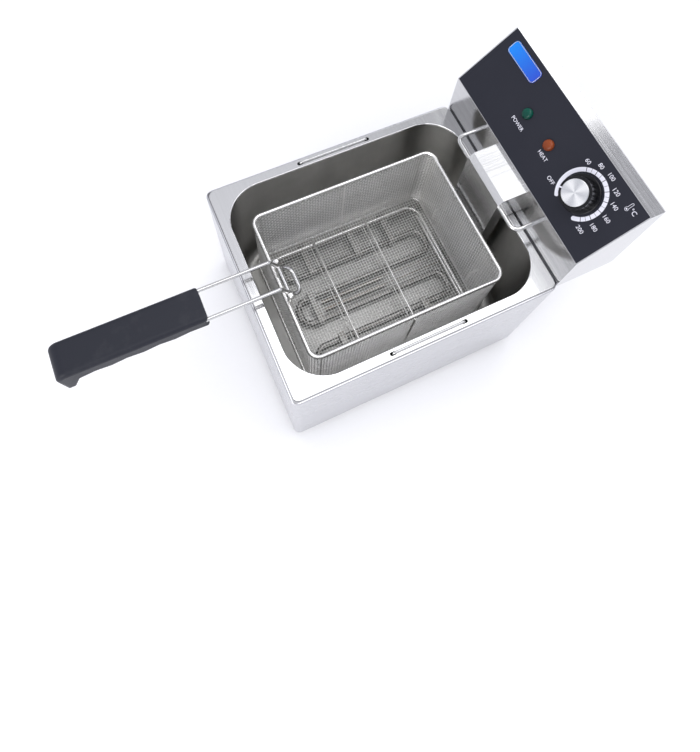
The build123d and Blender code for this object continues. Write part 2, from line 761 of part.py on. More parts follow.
# --- raised channel that guides the element tubes over the tank's back rim
NECK_W = 68.0
NECK_Y = 125.2
NECK_TOP = 264.0
with BuildPart() as neck_cover:
    with BuildSketch(Plane.YZ.offset(-NECK_W / 2)):
        with BuildLine():
            Polyline(
                (NECK_Y, 60),
                (NECK_Y, NECK_TOP - 6),
                (NECK_Y + 6, NECK_TOP),
                (HEAD_FRONT, NECK_TOP),
                (HEAD_FRONT, RIM_Z + 2),
                (NECK_Y + 17, RIM_Z + 2),
                (NECK_Y + 17, 60),
                close=True,
            )
        make_face()
    extrude(amount=NECK_W)
    with BuildSketch(Plane.YZ.offset(-NECK_W / 2 + 1)):
        with BuildLine():
            Polyline(
                (NECK_Y + 1, 59),
                (NECK_Y + 1, NECK_TOP - 6.4),
                (NECK_Y + 6.4, NECK_TOP - 1),
                (HEAD_FRONT + 1, NECK_TOP - 1),
                (HEAD_FRONT + 1, RIM_Z + 1),
                (NECK_Y + 18, RIM_Z + 1),
                (NECK_Y + 18, 59),
                close=True,
            )
        make_face()
    extrude(amount=NECK_W - 2, mode=Mode.SUBTRACT)
    with Locations((0, DRAIN_BAR_Y, DRAIN_Z)):
        Cylinder(2.85, NECK_W + 4, rotation=(0, 90, 0), mode=Mode.SUBTRACT)
    # shallow pressed field that stiffens the front plate
    with BuildSketch(Plane.XZ.offset(-NECK_Y)):
        with Locations((0, 138)):
            RectangleRounded(NECK_W - 10, 136, 3)
    extrude(amount=-0.4, mode=Mode.SUBTRACT)
save(neck_cover, "neck_cover")

# --- wire on which the basket hangs to drain
with BuildPart() as drain_wire:
    with BuildLine() as drain_path:
        FilletPolyline(
            (-DRAIN_X, HEAD_FRONT + 7, DRAIN_Z),
            (-DRAIN_X, DRAIN_BAR_Y, DRAIN_Z),
            (DRAIN_X, DRAIN_BAR_Y, DRAIN_Z),
            (DRAIN_X, HEAD_FRONT + 7, DRAIN_Z),
            radius=9,
        )
    with BuildSketch(start_plane(drain_path.line)):
        Circle(2.5)
    sweep()
save(drain_wire, "drain_wire")

with BuildPart() as drain_wire_nuts:
    with BuildSketch(Plane.XZ.offset(-HEAD_FRONT - HEAD_T)):
        with Locations((-DRAIN_X, DRAIN_Z), (DRAIN_X, DRAIN_Z)):
            RegularPolygon(5.0, 6)
            Circle(2.6, mode=Mode.SUBTRACT)
    extrude(amount=-4)
save(drain_wire_nuts, "drain_wire_nuts")

# --- heating element: one tube laid in six lengthwise passes
BEND_R = 13.0
FRONT_Y = -100.0
REAR_Y = 105.0
RISER_Y = 135.0
INNER_X = PITCH / 2
MIDDLE_X = 1.5 * PITCH
OUTER_X = 2.5 * PITCH
with BuildPart() as heating_element:
    with BuildLine() as tube_path:
        FilletPolyline(
            (-RISER_X, 178, RISER_Z),
            (-RISER_X, RISER_Y, RISER_Z),
            (-RISER_X, RISER_Y, TUBE_Z),
            (-OUTER_X, RISER_Y, TUBE_Z),
            (-OUTER_X, FRONT_Y, TUBE_Z),
            (-MIDDLE_X, FRONT_Y, TUBE_Z),
            (-MIDDLE_X, REAR_Y, TUBE_Z),
            (-INNER_X, REAR_Y, TUBE_Z),
            (-INNER_X, FRONT_Y, TUBE_Z),
            (INNER_X, FRONT_Y, TUBE_Z),
            (INNER_X, REAR_Y, TUBE_Z),
            (MIDDLE_X, REAR_Y, TUBE_Z),
            (MIDDLE_X, FRONT_Y, TUBE_Z),
            (OUTER_X, FRONT_Y, TUBE_Z),
            (OUTER_X, RISER_Y, TUBE_Z),
            (RISER_X, RISER_Y, TUBE_Z),
            (RISER_X, RISER_Y, RISER_Z),
            (RISER_X, 178, RISER_Z),
            radius=BEND_R,
        )
    with BuildSketch(start_plane(tube_path.line)):
        Circle(TUBE)
    sweep()
save(heating_element, "heating_element")

with BuildPart() as element_nuts:
    with BuildSketch(Plane.XZ.offset(-HEAD_FRONT - HEAD_T)):
        with Locations((-RISER_X, RISER_Z), (RISER_X, RISER_Z)):
            RegularPolygon(8, 6)
            Circle(4.2, mode=Mode.SUBTRACT)
    extrude(amount=-5)
save(element_nuts, "element_nuts")

with BuildPart() as element_terminals:
    with BuildSketch(Plane.XZ.offset(-178)):
        with Locations((-RISER_X, RISER_Z), (RISER_X, RISER_Z)):
            Circle(2.8)
    extrude(amount=-5)
    with BuildSketch(Plane.XZ.offset(-183)):
        with Locations((-RISER_X, RISER_Z), (RISER_X, RISER_Z)):
            Rectangle(1.0, 6.3)
    extrude(amount=-9)
save(element_terminals, "element_terminals")

# small channels clamped on pairs of passes; the basket rests on them
CLIPS = [(-68, -62), (68, -62), (-68, 60), (68, 60), (-68, 8), (0, -78)]
CLIP_TOP = FRAME_Z - FRAME_R
CLIP_L = 8.0
with BuildPart() as element_clips:
    with Locations(*[(x, y, (CLIP_TOP + TUBE_Z + TUBE) / 2 - 2.5) for x, y in CLIPS]):
        Box(46, CLIP_L, CLIP_TOP - TUBE_Z - TUBE + 5)
    with Locations(*[(x, y, (CLIP_TOP + TUBE_Z + TUBE) / 2 - 4) for x, y in CLIPS]):
        Box(43, CLIP_L + 1, CLIP_TOP - TUBE_Z - TUBE + 5, mode=Mode.SUBTRACT)
    # saddle between the two passes
    with Locations(*[(x, y, TUBE_Z) for x, y in CLIPS]):
        Box(25, CLIP_L - 1, 1.5)
        with Locations((0, 0, (CLIP_TOP - TUBE_Z) / 2)):
            Box(4, 4, CLIP_TOP - TUBE_Z - 0.5)
save(element_clips, "element_clips")

# --- sensing bulbs of the thermostat and of the safety cut-out
for name, bx in (("thermostat_bulb", -5.5), ("cutout_bulb", 5.5)):
    with BuildPart() as sensing_bulb:
        with BuildLine() as capillary:
            FilletPolyline(
                (bx, 22, TUBE_Z),
                (bx, RISER_Y - 1, TUBE_Z),
                (bx, RISER_Y - 1, CAPILLARY_Z),
                (bx, 180, CAPILLARY_Z),
                radius=8,
            )
        with BuildSketch(start_plane(capillary.line)):
            Circle(0.9)
        sweep()
        with Locations((bx, -22, TUBE_Z)):
            Cylinder(3.0, 90, rotation=(90, 0, 0))
    save(sensing_bulb, name)

# --- safety cut-out with its reset button, reached through the back cover
with BuildPart() as cutout_body:
    with Locations((RESET[0], HEAD_BACK - 16, RESET[1])):
        Box(26, 22, 26)
    with BuildSketch(Plane.XZ.offset(-HEAD_BACK + 5)):
        with Locations(RESET):
            Circle(5.9)
    extrude(amount=-9)
    with BuildSketch(Plane.XZ.offset(-HEAD_BACK - 5)):
        with Locations(RESET):
            Circle(3.06)
    extrude(amount=14, mode=Mode.SUBTRACT)
save(cutout_body, "cutout_body")

with BuildPart() as reset_button:
    with BuildSketch(Plane.XZ.offset(-HEAD_BACK + 6)):
        with Locations(RESET):
            Circle(3.0)
    extrude(amount=-13)
    fillet(reset_button.edges().group_by(Axis.Y)[-1], 0.8)
save(reset_button, "reset_button")

with BuildPart() as terminal_block:
    with Locations((-86, 190, 206)):
        Box(48, 18, 14)
    with Locations((-86, 190, 213)):
        with GridLocations(14, 9, 3, 2):
            Cylinder(2.6, 6, mode=Mode.SUBTRACT)
save(terminal_block, "terminal_block")

with BuildPart() as terminal_screws:
    with Locations((-86, 190, 211)):
        with GridLocations(14, 9, 3, 2):
            Cylinder(2.3, 2)
            Box(4, 0.7, 1.6, mode=Mode.SUBTRACT)
save(terminal_screws, "terminal_screws")

with BuildPart() as cable_gland:
    with BuildSketch(Plane.XZ.offset(-HEAD_BACK + 6)):
        with Locations(GLAND):
            Circle(9.0)
    extrude(amount=-7.2)
    with BuildSketch(Plane.XZ.offset(-HEAD_BACK - 1.2)):
        with Locations(GLAND):
            RegularPolygon(13, 6)
    extrude(amount=-5)
    with BuildSketch(Plane.XZ.offset(-HEAD_BACK - 6.2)):
        with Locations(GLAND):
            Circle(10.0)
    extrude(amount=-9, taper=12)
    with BuildSketch(Plane.XZ.offset(-HEAD_BACK + 8)):
        with Locations(GLAND):
            Circle(4.2)
    extrude(amount=-40, mode=Mode.SUBTRACT)
save(cable_gland, "cable_gland")

with BuildPart() as gland_nut:
    with BuildSketch(Plane.XZ.offset(-HEAD_BACK + 0.1)):
        with Locations(GLAND):
            RegularPolygon(12, 6)
            Circle(9.1, mode=Mode.SUBTRACT)
    extrude(amount=4)
save(gland_nut, "gland_nut")

# --- a few insulated wires inside the head
WIRE_RUNS = [
    [(-100, 199.2, 206), (-100, 208, 206), (-100, 208, 236), (-20, 208, 236), (-20, 192.4, 236)],
    [(-86, 199.2, 206), (-86, 216, 206), (-86, 216, 236), (20, 216, 236), (20, 192.4, 236)],
    [
        (-72, 180.8, 206),
        (-72, 172, 206),
        (-72, 172, 262),
        (-39, 172, 262),
        (-39, 208, 262),
        (-39, 208, 284),
    ],
]
with BuildPart() as inner_wiring:
    for run in WIRE_RUNS:
        with BuildLine() as run_path:
            FilletPolyline(*run, radius=3)
        with BuildSketch(start_plane(run_path.line)):
            Circle(1.3)
        sweep()
save(inner_wiring, "inner_wiring")
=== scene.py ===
# %% [markdown]
# # A countertop deep fryer
# The fryer's sheet metal, wires and screws come ready as a fixed frame in metres:
# X runs right, Y runs back to the control head and Z runs up from the table.
# This lesson gives every piece its finish, weaves the basket's wire cloth, prints
# the scale on the panel, and lights the whole like a small object in a studio.

# %% Load the frame
import json
import math

import bpy
from mathutils import Matrix, Vector


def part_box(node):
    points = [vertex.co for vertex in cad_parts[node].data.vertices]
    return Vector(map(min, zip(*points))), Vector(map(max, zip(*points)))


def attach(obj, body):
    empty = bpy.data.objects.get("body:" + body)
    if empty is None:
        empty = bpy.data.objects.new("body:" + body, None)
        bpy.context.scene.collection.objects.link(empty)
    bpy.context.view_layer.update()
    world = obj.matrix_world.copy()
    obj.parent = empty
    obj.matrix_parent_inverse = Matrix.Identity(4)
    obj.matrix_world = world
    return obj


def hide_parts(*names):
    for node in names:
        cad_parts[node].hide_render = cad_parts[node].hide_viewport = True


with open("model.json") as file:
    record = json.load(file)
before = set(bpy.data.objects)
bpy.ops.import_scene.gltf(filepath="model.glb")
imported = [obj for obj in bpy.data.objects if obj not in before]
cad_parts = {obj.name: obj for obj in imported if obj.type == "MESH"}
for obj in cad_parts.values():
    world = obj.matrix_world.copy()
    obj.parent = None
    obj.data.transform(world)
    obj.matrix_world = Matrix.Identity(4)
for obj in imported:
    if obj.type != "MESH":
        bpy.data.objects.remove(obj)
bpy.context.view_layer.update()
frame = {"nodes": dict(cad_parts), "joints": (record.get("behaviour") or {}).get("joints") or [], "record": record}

nodes = frame["nodes"]
joints = {joint["name"]: joint for joint in frame["joints"]}
MM = 0.001
print(len(nodes), "pieces in the frame")

# %% [markdown]
# ## The camera
# A fryer is drawn best from above, because its tank, basket and panel all face up.
# The camera hangs over the right front corner and leans back towards the head.
# A lens of about 32 mm gives the strong perspective of a close view. The object
# sits in the upper part of the picture, which the lens shift does without tilting.

# %% Place the camera
EYE = Vector((0.2538, -0.1988, 0.9202))
LEAN = (25.45, -3.09, 65.36)
LENS = 32.33
SHIFT = (0.003, -0.210)

camera_data = bpy.data.cameras.new("studio_camera")
camera_data.lens = LENS
camera_data.shift_x, camera_data.shift_y = SHIFT
camera_data.clip_start = 0.01
camera = bpy.data.objects.new("studio_camera", camera_data)
camera.location = EYE
camera.rotation_euler = [math.radians(angle) for angle in LEAN]
bpy.context.scene.collection.objects.link(camera)
bpy.context.scene.camera = camera
print("camera", round(EYE.length, 3), "m from the table's origin")

# %% [markdown]
# ## Shader maths that reads like a formula
# A material is a small program made of nodes. Wiring each Math node by hand hides
# the idea, so a field wraps one socket and understands +, -, * and the rest.
# Colours must not pass through a Math node, which would turn them grey: they go
# through `mix`, and vectors through Vector Math.


# %% A field of numbers over the surface
class Field:
    """One socket of a node tree, used like a number."""

    def __init__(self, tree, socket):
        self.tree = tree
        self.socket = socket

    def __add__(self, other):
        return self.tree.math("ADD", self, other)

    def __radd__(self, other):
        return self.tree.math("ADD", other, self)

    def __sub__(self, other):
        return self.tree.math("SUBTRACT", self, other)

    def __rsub__(self, other):
        return self.tree.math("SUBTRACT", other, self)

    def __mul__(self, other):
        return self.tree.math("MULTIPLY", self, other)

    def __rmul__(self, other):
        return self.tree.math("MULTIPLY", other, self)

    def __pow__(self, other):
        return self.tree.math("POWER", self, other)

    def __gt__(self, other):
        return self.tree.math("GREATER_THAN", self, other)

    def __abs__(self):
        return self.tree.math("ABSOLUTE", self)


print("fields are ready")


# %% A tree of nodes, and the one way to add a node to it
class Tree:
    """The node method adds any node; math and mix are shorthands for it."""

    def __init__(self, tree):
        self.tree = tree

    def feed(self, socket, value):
        if isinstance(value, Field):
            self.tree.links.new(value.socket, socket)
        else:
            socket.default_value = value

    def node(self, kind, settings=None, inputs=None, output=0):
        made = self.tree.nodes.new(kind)
        for label, value in (settings or {}).items():
            if label == "stops":
                self.set_stops(made.color_ramp, value)
            else:
                setattr(made, label, value)
        for label, value in (inputs or {}).items():
            self.feed(made.inputs[label], value)
        return Field(self, made.outputs[output])

    def set_stops(self, ramp, stops):
        while len(ramp.elements) < len(stops):
            ramp.elements.new(0.5)
        for stop, (position, colour) in zip(ramp.elements, stops):
            stop.position = position
            stop.color = colour

    def math(self, operation, first, second=0.0):
        return self.node("ShaderNodeMath", {"operation": operation}, {0: first, 1: second})

    def mix(self, share, first, second):
        inputs = {0: share, 6: first, 7: second}
        return self.node("ShaderNodeMix", {"data_type": "RGBA"}, inputs, output=2)

    def part(self, axis, vector):
        """One coordinate of a vector."""
        return self.node("ShaderNodeSeparateXYZ", {}, {0: vector}, output=axis)


print("trees are ready")

# %% [markdown]
# A finish is a material whose tree ends in Blender's Principled shader. A number
# that is the same all over goes straight onto the shader's socket by name. What
# changes from place to place is made from the object's own coordinates, so the
# pattern is as large as life and stays put when a piece moves.


# %% A finish: one material with its shorthands
class Finish(Tree):
    """A material; constants are Principled inputs, with _ for each space."""

    def __init__(self, name, metallic=0.0, **constants):
        self.material = bpy.data.materials.new(name)
        self.material.use_nodes = True
        super().__init__(self.material.node_tree)
        self.shader = self.tree.nodes["Principled BSDF"]
        self.shader.inputs["Metallic"].default_value = metallic
        for label, value in constants.items():
            self.shader.inputs[label.replace("_", " ")].default_value = value
        self.place = self.node("ShaderNodeTexCoord", output="Object")

    def facing(self):
        """Direction in which the surface faces, without its bumps."""
        return self.node("ShaderNodeNewGeometry", output="Normal")

    def stretched(self, scale):
        """The place, multiplied along X, Y and Z."""
        return self.node("ShaderNodeVectorMath", {"operation": "MULTIPLY"}, {0: self.place, 1: scale})

    def noise(self, scale, detail=3.0):
        """Cloudy noise, with as many spots to the metre as scale says along X, Y and Z."""
        inputs = {"Vector": self.stretched(scale), "Scale": 1.0, "Detail": detail, "Roughness": 0.55}
        return self.node("ShaderNodeTexNoise", {}, inputs)

    def steps(self, value, low, high):
        """0 below low, 1 above high, and even between."""
        inputs = {"Value": value, 1: low, 2: high}
        return self.node("ShaderNodeMapRange", {"clamp": True}, inputs)

    def finish(self, colour, roughness, height, depth):
        """Close the tree: depth is how deep the bumps of height go, in metres."""
        self.feed(self.shader.inputs["Base Color"], colour)
        self.feed(self.shader.inputs["Roughness"], roughness)
        bump = self.node("ShaderNodeBump", {}, {"Height": height, "Distance": depth, "Strength": 1.0})
        self.feed(self.shader.inputs["Normal"], bump)
        return self.material


print("finishes can be made")

# %% [markdown]
# ## Brushed and drawn steel
# Sheet steel is rolled and then brushed, so its surface is full of hair-fine
# parallel scratches. Light smears across them. Here a noise is stretched more
# than a hundredfold along the brushing direction and drives roughness, a shallow
# bump and a little of the tint; a second, cloudy noise is the handling and
# cleaning that no steel in a kitchen escapes.


# %% Steel sheet with a grain
GRAIN = {"x": (5, 900, 900), "y": (900, 5, 900), "z": (900, 900, 5), "level": (4, 4, 900)}
FACES_UP = 0.75
SMUDGE = 0.25
# width and colour of a painted shadow in the gap beside the tank's rim
SEAM_SHADOW_INNER, SEAM_SHADOW_OUTER = 0.0005, 0.0013
SEAM_PAINTED_SHADOW = (0.22, 0.22, 0.23, 1)
# height below which the neck is painted darker as painted shade, the span over which that fades in, and how dark
# it gets
SHADE_BELOW_Z, SHADE_FADE_SPAN, SHADE_DARKNESS = 0.25, 0.03, 0.42


def scaled(colour, by):
    return (colour[0] * by, colour[1] * by, colour[2] * by, 1.0)


def steel(name, tint, rough, walls="level", tops="x", depth=0.00003, shadowed_rim=None, shaded_below=None):
    """Brushed sheet: one grain on its walls and another on its level faces."""
    sheet = Finish(name, metallic=1.0)
    flat = abs(sheet.part("Z", sheet.facing())) > FACES_UP
    wall_grain = sheet.noise(GRAIN[walls])
    top_grain = sheet.noise(GRAIN[tops])
    grain = wall_grain + (top_grain - wall_grain) * flat
    clouds = sheet.noise((11, 9, 13), detail=5.0)
    wiped = sheet.steps(clouds, 0.42, 0.68)
    shade = sheet.steps(grain * 0.75 + clouds * 0.25, 0.3, 0.7)
    colour = sheet.mix(shade, scaled(tint, 0.9), scaled(tint, 1.04))
    if shadowed_rim:
        # painted shadow: what is level within a millimetre of the tank's rim is painted dark, as the shade in the
        # gap between the casing and the rim
        past_side = abs(sheet.part("X", sheet.place)) - shadowed_rim.x
        past_end = abs(sheet.part("Y", sheet.place)) - shadowed_rim.y
        past = sheet.math("MAXIMUM", past_side, past_end)
        in_painted_shadow = 1.0 - sheet.steps(past, SEAM_SHADOW_INNER, SEAM_SHADOW_OUTER)
        colour = sheet.mix(in_painted_shadow * flat, colour, SEAM_PAINTED_SHADOW)
    if shaded_below:
        # painted shade: where the neck hangs down into the tank below this height, its colour is painted darker as
        # shade
        painted_shade = 1.0 - sheet.steps(sheet.part("Z", sheet.place), shaded_below - SHADE_FADE_SPAN, shaded_below)
        colour = sheet.mix(painted_shade, colour, scaled(tint, SHADE_DARKNESS))
    roughness = rough + (grain - 0.5) * 0.22 + wiped * SMUDGE * rough
    return sheet.finish(colour, roughness, grain, depth)


finishes = {
    "case_steel": steel("case_steel", (0.60, 0.60, 0.625), 0.27, shadowed_rim=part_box("oil_tank")[1]),
    "head_steel": steel("head_steel", (0.64, 0.64, 0.65), 0.15, depth=0.000003),
    "neck_steel": steel(
        "neck_steel", (0.72, 0.72, 0.725), 0.20, walls="z", tops="y", depth=0.000015, shaded_below=SHADE_BELOW_Z
    ),
    "cover_steel": steel("cover_steel", (0.66, 0.66, 0.67), 0.34),
    "bracket_steel": steel("bracket_steel", (0.60, 0.60, 0.61), 0.38),
}
print(len(finishes), "sheet finishes")

# %% [markdown]
# ## The tank
# The tank is deep-drawn from one sheet. Its rim is polished bright, while the
# inside is duller: drawing marks run down the walls, and wiping the oil out has
# left it cloudy. The inside's colour is also painted darker, as painted shade of
# the deep tank. One material does both, told apart by how far a point lies below
# the rim.

# %% Tank steel, bright rim and a dull inside with painted shade
RIM_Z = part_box("oil_tank")[1].z
INSIDE_FROM, INSIDE_BELOW = RIM_Z - 0.0012, RIM_Z - 0.0035
DEEPEST_Z = 0.04


def tank_finish():
    tank = Finish("tank_steel", metallic=1.0)
    height = tank.part("Z", tank.place)
    inside = 1.0 - tank.steps(height, INSIDE_BELOW, INSIDE_FROM)
    deep = 1.0 - tank.steps(height, DEEPEST_Z, RIM_Z)
    drawn = tank.noise((260, 260, 7))
    brushed = tank.noise((6, 850, 850))
    clouds = tank.noise((16, 13, 9), detail=5.0)
    grain = brushed + (drawn - brushed) * inside
    # painted shade: the inside is painted darker for the shade in the deep tank, with cloudy wiping marks in it
    painted_shade = tank.mix(tank.steps(clouds, 0.35, 0.7), (0.34, 0.336, 0.322, 1), (0.47, 0.465, 0.450, 1))
    bright = tank.mix(grain, (0.69, 0.69, 0.69, 1), (0.79, 0.79, 0.79, 1))
    colour = tank.mix(inside, bright, painted_shade)
    roughness = 0.12 + inside * 0.18 + deep * 0.08 + (grain - 0.5) * 0.14
    return tank.finish(colour, roughness, grain, 0.00002)


finishes["tank_steel"] = tank_finish()
print("rim at", round(RIM_Z / MM, 1), "mm")

# %% [markdown]
# ## Wire, tube, brass and fasteners
# Drawn wire is pulled through a die, so its marks are lengthwise lines too fine
# to see; what shows is a bright skin with duller spots here and there.
# The heating tube has been hot and has a warm, stained oxide. A single helper
# makes such small metal parts, with spots of another tint and roughness.


# %% Metal with spots
def spotted_metal(name, tint, stain, rough, metallic=1.0):
    metal = Finish(name, metallic=metallic)
    fine = metal.noise((420, 420, 420), detail=4.0)
    broad = metal.noise((35, 35, 35), detail=3.0)
    mark = metal.steps(fine * 0.5 + broad * 0.5, 0.46, 0.62) * 0.5
    colour = metal.mix(mark, scaled(tint, 1.0), scaled(stain, 1.0))
    roughness = rough + mark * 0.18 + (fine - 0.5) * 0.08
    return metal.finish(colour, roughness, fine, 0.00002)


finishes.update(
    {
        "wire_steel": spotted_metal("wire_steel", (0.66, 0.66, 0.66), (0.46, 0.45, 0.44), 0.16),
        "basket_wire": spotted_metal("basket_wire", (0.92, 0.915, 0.90), (0.66, 0.64, 0.61), 0.24),
        "basket_mesh": spotted_metal(
            "basket_mesh", (0.88, 0.875, 0.86), (0.70, 0.69, 0.67), 0.31, metallic=0.8
        ),
        "fastener_steel": spotted_metal("fastener_steel", (0.62, 0.62, 0.62), (0.42, 0.42, 0.43), 0.28),
        "element_tube": spotted_metal("element_tube", (0.34, 0.335, 0.32), (0.22, 0.19, 0.16), 0.36),
        "copper_bulb": spotted_metal("copper_bulb", (0.38, 0.36, 0.33), (0.28, 0.22, 0.17), 0.30),
        "brass_nut": spotted_metal("brass_nut", (0.78, 0.62, 0.32), (0.50, 0.36, 0.18), 0.27),
    }
)
print(len(finishes), "metal finishes so far")

# %% [markdown]
# ## Moulded parts
# Moulded plastic, rubber and unglazed ceramic differ in how tightly their skin
# reflects. All have a fine texture from the mould, a little colour drift, and
# scuffs that show as slightly duller, paler spots.


# %% Moulded plastic and rubber
SCUFF_GREY = 0.55


def moulded(name, colour, rough, depth=0.00004, scuff=0.12, coat=0.0, shine=0.5):
    plastic = Finish(name, Coat_Weight=coat, Coat_Roughness=0.06, Specular_IOR_Level=shine)
    skin = plastic.noise((1400, 1400, 1400), detail=2.0)
    drift = plastic.noise((28, 28, 28), detail=5.0)
    worn = plastic.steps(drift, 0.52, 0.72)
    pale = tuple(channel + scuff * (SCUFF_GREY - channel) for channel in colour)
    tint = plastic.mix(worn * 0.6 + (skin - 0.5) * 0.3, scaled(colour, 1.0), scaled(pale, 1.0))
    roughness = rough + worn * 0.12 + (skin - 0.5) * 0.16
    return plastic.finish(tint, roughness, skin, depth)


finishes.update(
    {
        "grip_plastic": moulded(
            "grip_plastic", (0.013, 0.0145, 0.023), 0.46, depth=0.00007, scuff=0.05, shine=0.3
        ),
        "knob_black": moulded(
            "knob_black", (0.004, 0.004, 0.006), 0.18, depth=0.00001, scuff=0.015, coat=0.1, shine=0.25
        ),
        "foot_rubber": moulded("foot_rubber", (0.030, 0.030, 0.033), 0.75),
        "black_plastic": moulded("black_plastic", (0.035, 0.035, 0.040), 0.50),
        "gland_plastic": moulded("gland_plastic", (0.035, 0.035, 0.038), 0.45),
        "cream_plastic": moulded("cream_plastic", (0.62, 0.58, 0.46), 0.45),
        "red_plastic": moulded("red_plastic", (0.50, 0.03, 0.02), 0.30, coat=0.3),
        "ceramic_block": moulded("ceramic_block", (0.72, 0.70, 0.64), 0.65),
        "wire_insulation": moulded("wire_insulation", (0.38, 0.06, 0.04), 0.50),
        "white_mark": moulded("white_mark", (0.72, 0.72, 0.80), 0.55, scuff=0.0),
    }
)
print(len(finishes), "finishes so far")

# %% [markdown]
# ## Panel film, lamp lenses, badge and spun cap
# The panel wears a black film with a faint orange-peel and dust. Each lens is
# tinted plastic under a clear hard gloss, deep in colour at its foot and painted
# lighter towards the crown as painted light on the dome. The badge is a plain
# blue enamel plate with no lettering.
# The knob's cap was faced on a lathe; the light that gathers in opposite sectors of it is painted into its colour
# as a painted highlight.


# %% Panel, lenses, badge and cap
def panel_finish():
    film = Finish("panel_black", Specular_IOR_Level=0.13)
    peel = film.noise((420, 420, 420), detail=2.0)
    dust = film.noise((2600, 2600, 2600), detail=1.0)
    haze = film.noise((9, 9, 9), detail=4.0)
    speck = film.steps(dust, 0.70, 0.78) * 0.35
    colour = film.mix(haze * 0.6 + speck, (0.017, 0.018, 0.026, 1), (0.030, 0.031, 0.041, 1))
    return film.finish(colour, 0.34 + (haze - 0.5) * 0.2 + speck * 0.2, peel, 0.00001)


# height over which each lens is painted lighter towards its crown
LENS_PAINTED_LIGHT_SPAN = 0.012


def lens_finish(name, deep, light):
    """Both lamps sit at the same height, so one span of height serves both."""
    crown_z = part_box("power_lamp")[1].z
    lens = Finish(name, Coat_Weight=0.2, Coat_Roughness=0.02, Specular_IOR_Level=0.15)
    # painted light: the lens is painted lighter from its foot towards its crown, as light falls on the dome
    rise = lens.steps(lens.part("Z", lens.place), crown_z - LENS_PAINTED_LIGHT_SPAN, crown_z)
    ribs = lens.noise((420, 420, 420), detail=2.0)
    colour = lens.mix(rise * 0.8 + ribs * 0.2, scaled(deep, 1.0), scaled(light, 1.0))
    return lens.finish(colour, 0.12 + ribs * 0.1, ribs, 0.0004)


def badge_finish():
    low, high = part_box("name_badge")
    plate = Finish("badge", Coat_Weight=0.2, Coat_Roughness=0.05, Specular_IOR_Level=0.2)
    along = plate.steps(plate.part("X", plate.place), low.x, high.x)
    grit = plate.noise((1500, 1500, 1500), detail=2.0)
    colour = plate.mix(along, (0.005, 0.21, 0.74, 1), (0.02, 0.065, 0.50, 1))
    return plate.finish(colour, 0.25 + grit * 0.1, grit, 0.00001)


# how many sectors the cap's painted highlight has and where they lie
CAP_SECTORS, CAP_TURN = 4.0, 0.6
CAP_RINGS = 16000.0


def cap_finish(centre, across, up):
    """Spun metal: a painted highlight, lighter and darker in sectors by the angle around the cap's middle."""
    cap = Finish("cap_silver", metallic=1.0)
    offset = cap.node("ShaderNodeVectorMath", {"operation": "SUBTRACT"}, {0: cap.place, 1: centre})
    dot = {"operation": "DOT_PRODUCT"}
    right = cap.node("ShaderNodeVectorMath", dot, {0: offset, 1: across}, output="Value")
    rise = cap.node("ShaderNodeVectorMath", dot, {0: offset, 1: up}, output="Value")
    angle = cap.math("ARCTAN2", rise, right)
    radius = (right * right + rise * rise) ** 0.5
    # painted highlight: light and dark sectors around the middle, with a streaky sweep, stand in for the light
    # that a spun cap gathers
    painted_highlight_sectors = cap.math("COSINE", angle * CAP_SECTORS + CAP_TURN) * 0.5 + 0.5
    rings = cap.math("SINE", radius * CAP_RINGS) * 0.5 + 0.5
    painted_highlight_sweep = cap.node("ShaderNodeTexNoise", {"noise_dimensions": "1D"}, {"W": angle * 9.0, "Scale": 1.0})
    shade = painted_highlight_sectors * 0.7 + painted_highlight_sweep * 0.3
    colour = cap.mix(shade, (0.56, 0.57, 0.60, 1), (1.0, 1.0, 1.0, 1))
    return cap.finish(colour, 0.27 + rings * 0.1, rings, 0.000008)


print("panel, lens, badge and cap recipes are ready")

# %% [markdown]
# ## The panel's own directions
# The panel slopes at 45 degrees. Everything on it is easiest to place by how far
# it lies across from the middle and how far up the slope from the front lip,
# so one function turns that pair into a point in space.

# %% Across, up and out of the panel
head_low, head_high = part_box("head_housing")
SLOPE_RISE = 0.063
LIP = Vector((0, head_low.y, head_high.z - SLOPE_RISE))
ACROSS = Vector((1, 0, 0))
UP = Vector((0, 1, 1)).normalized()
OUT = Vector((0, -1, 1)).normalized()
DIAL = Vector(joints["dial_turn"]["pos_m"])
DIAL_ACROSS = DIAL.x
DIAL_UP = (DIAL - LIP).dot(UP)


def on_panel(across, up, out=0.0):
    return LIP + ACROSS * across + UP * up + OUT * out


finishes["panel_black"] = panel_finish()
finishes["badge"] = badge_finish()
finishes["cap_silver"] = cap_finish(DIAL, ACROSS, UP)
finishes["green_lens"] = lens_finish("green_lens", (0.0005, 0.010, 0.008), (0.001, 0.075, 0.052))
finishes["amber_lens"] = lens_finish("amber_lens", (0.06, 0.008, 0.003), (0.27, 0.058, 0.016))
print("dial is", round(DIAL_UP / MM, 1), "mm up the panel")

# %% [markdown]
# ## Give each piece of the frame its finish
# The record says which finish each piece takes. The material goes into the
# object's own slot, so the mesh that it shares with the frame stays untouched.

# %% Assign the finishes
slot_of = {part["node"]: part["material_slot"] for part in frame["record"]["subparts"]}
for name, piece in nodes.items():
    for place in piece.material_slots:
        place.link = "OBJECT"
        place.material = finishes[slot_of[name]]
print(len(set(slot_of.values())), "finishes on", len(nodes), "pieces")

# %% [markdown]
# ## Tubes along a line
# Wire cloth, weld beads and borders are all tubes that follow a line. A curve
# object with a bevel would do, but tens of thousands of short bends are lighter
# as a mesh built directly: a ring of corners at each point, joined to the next.


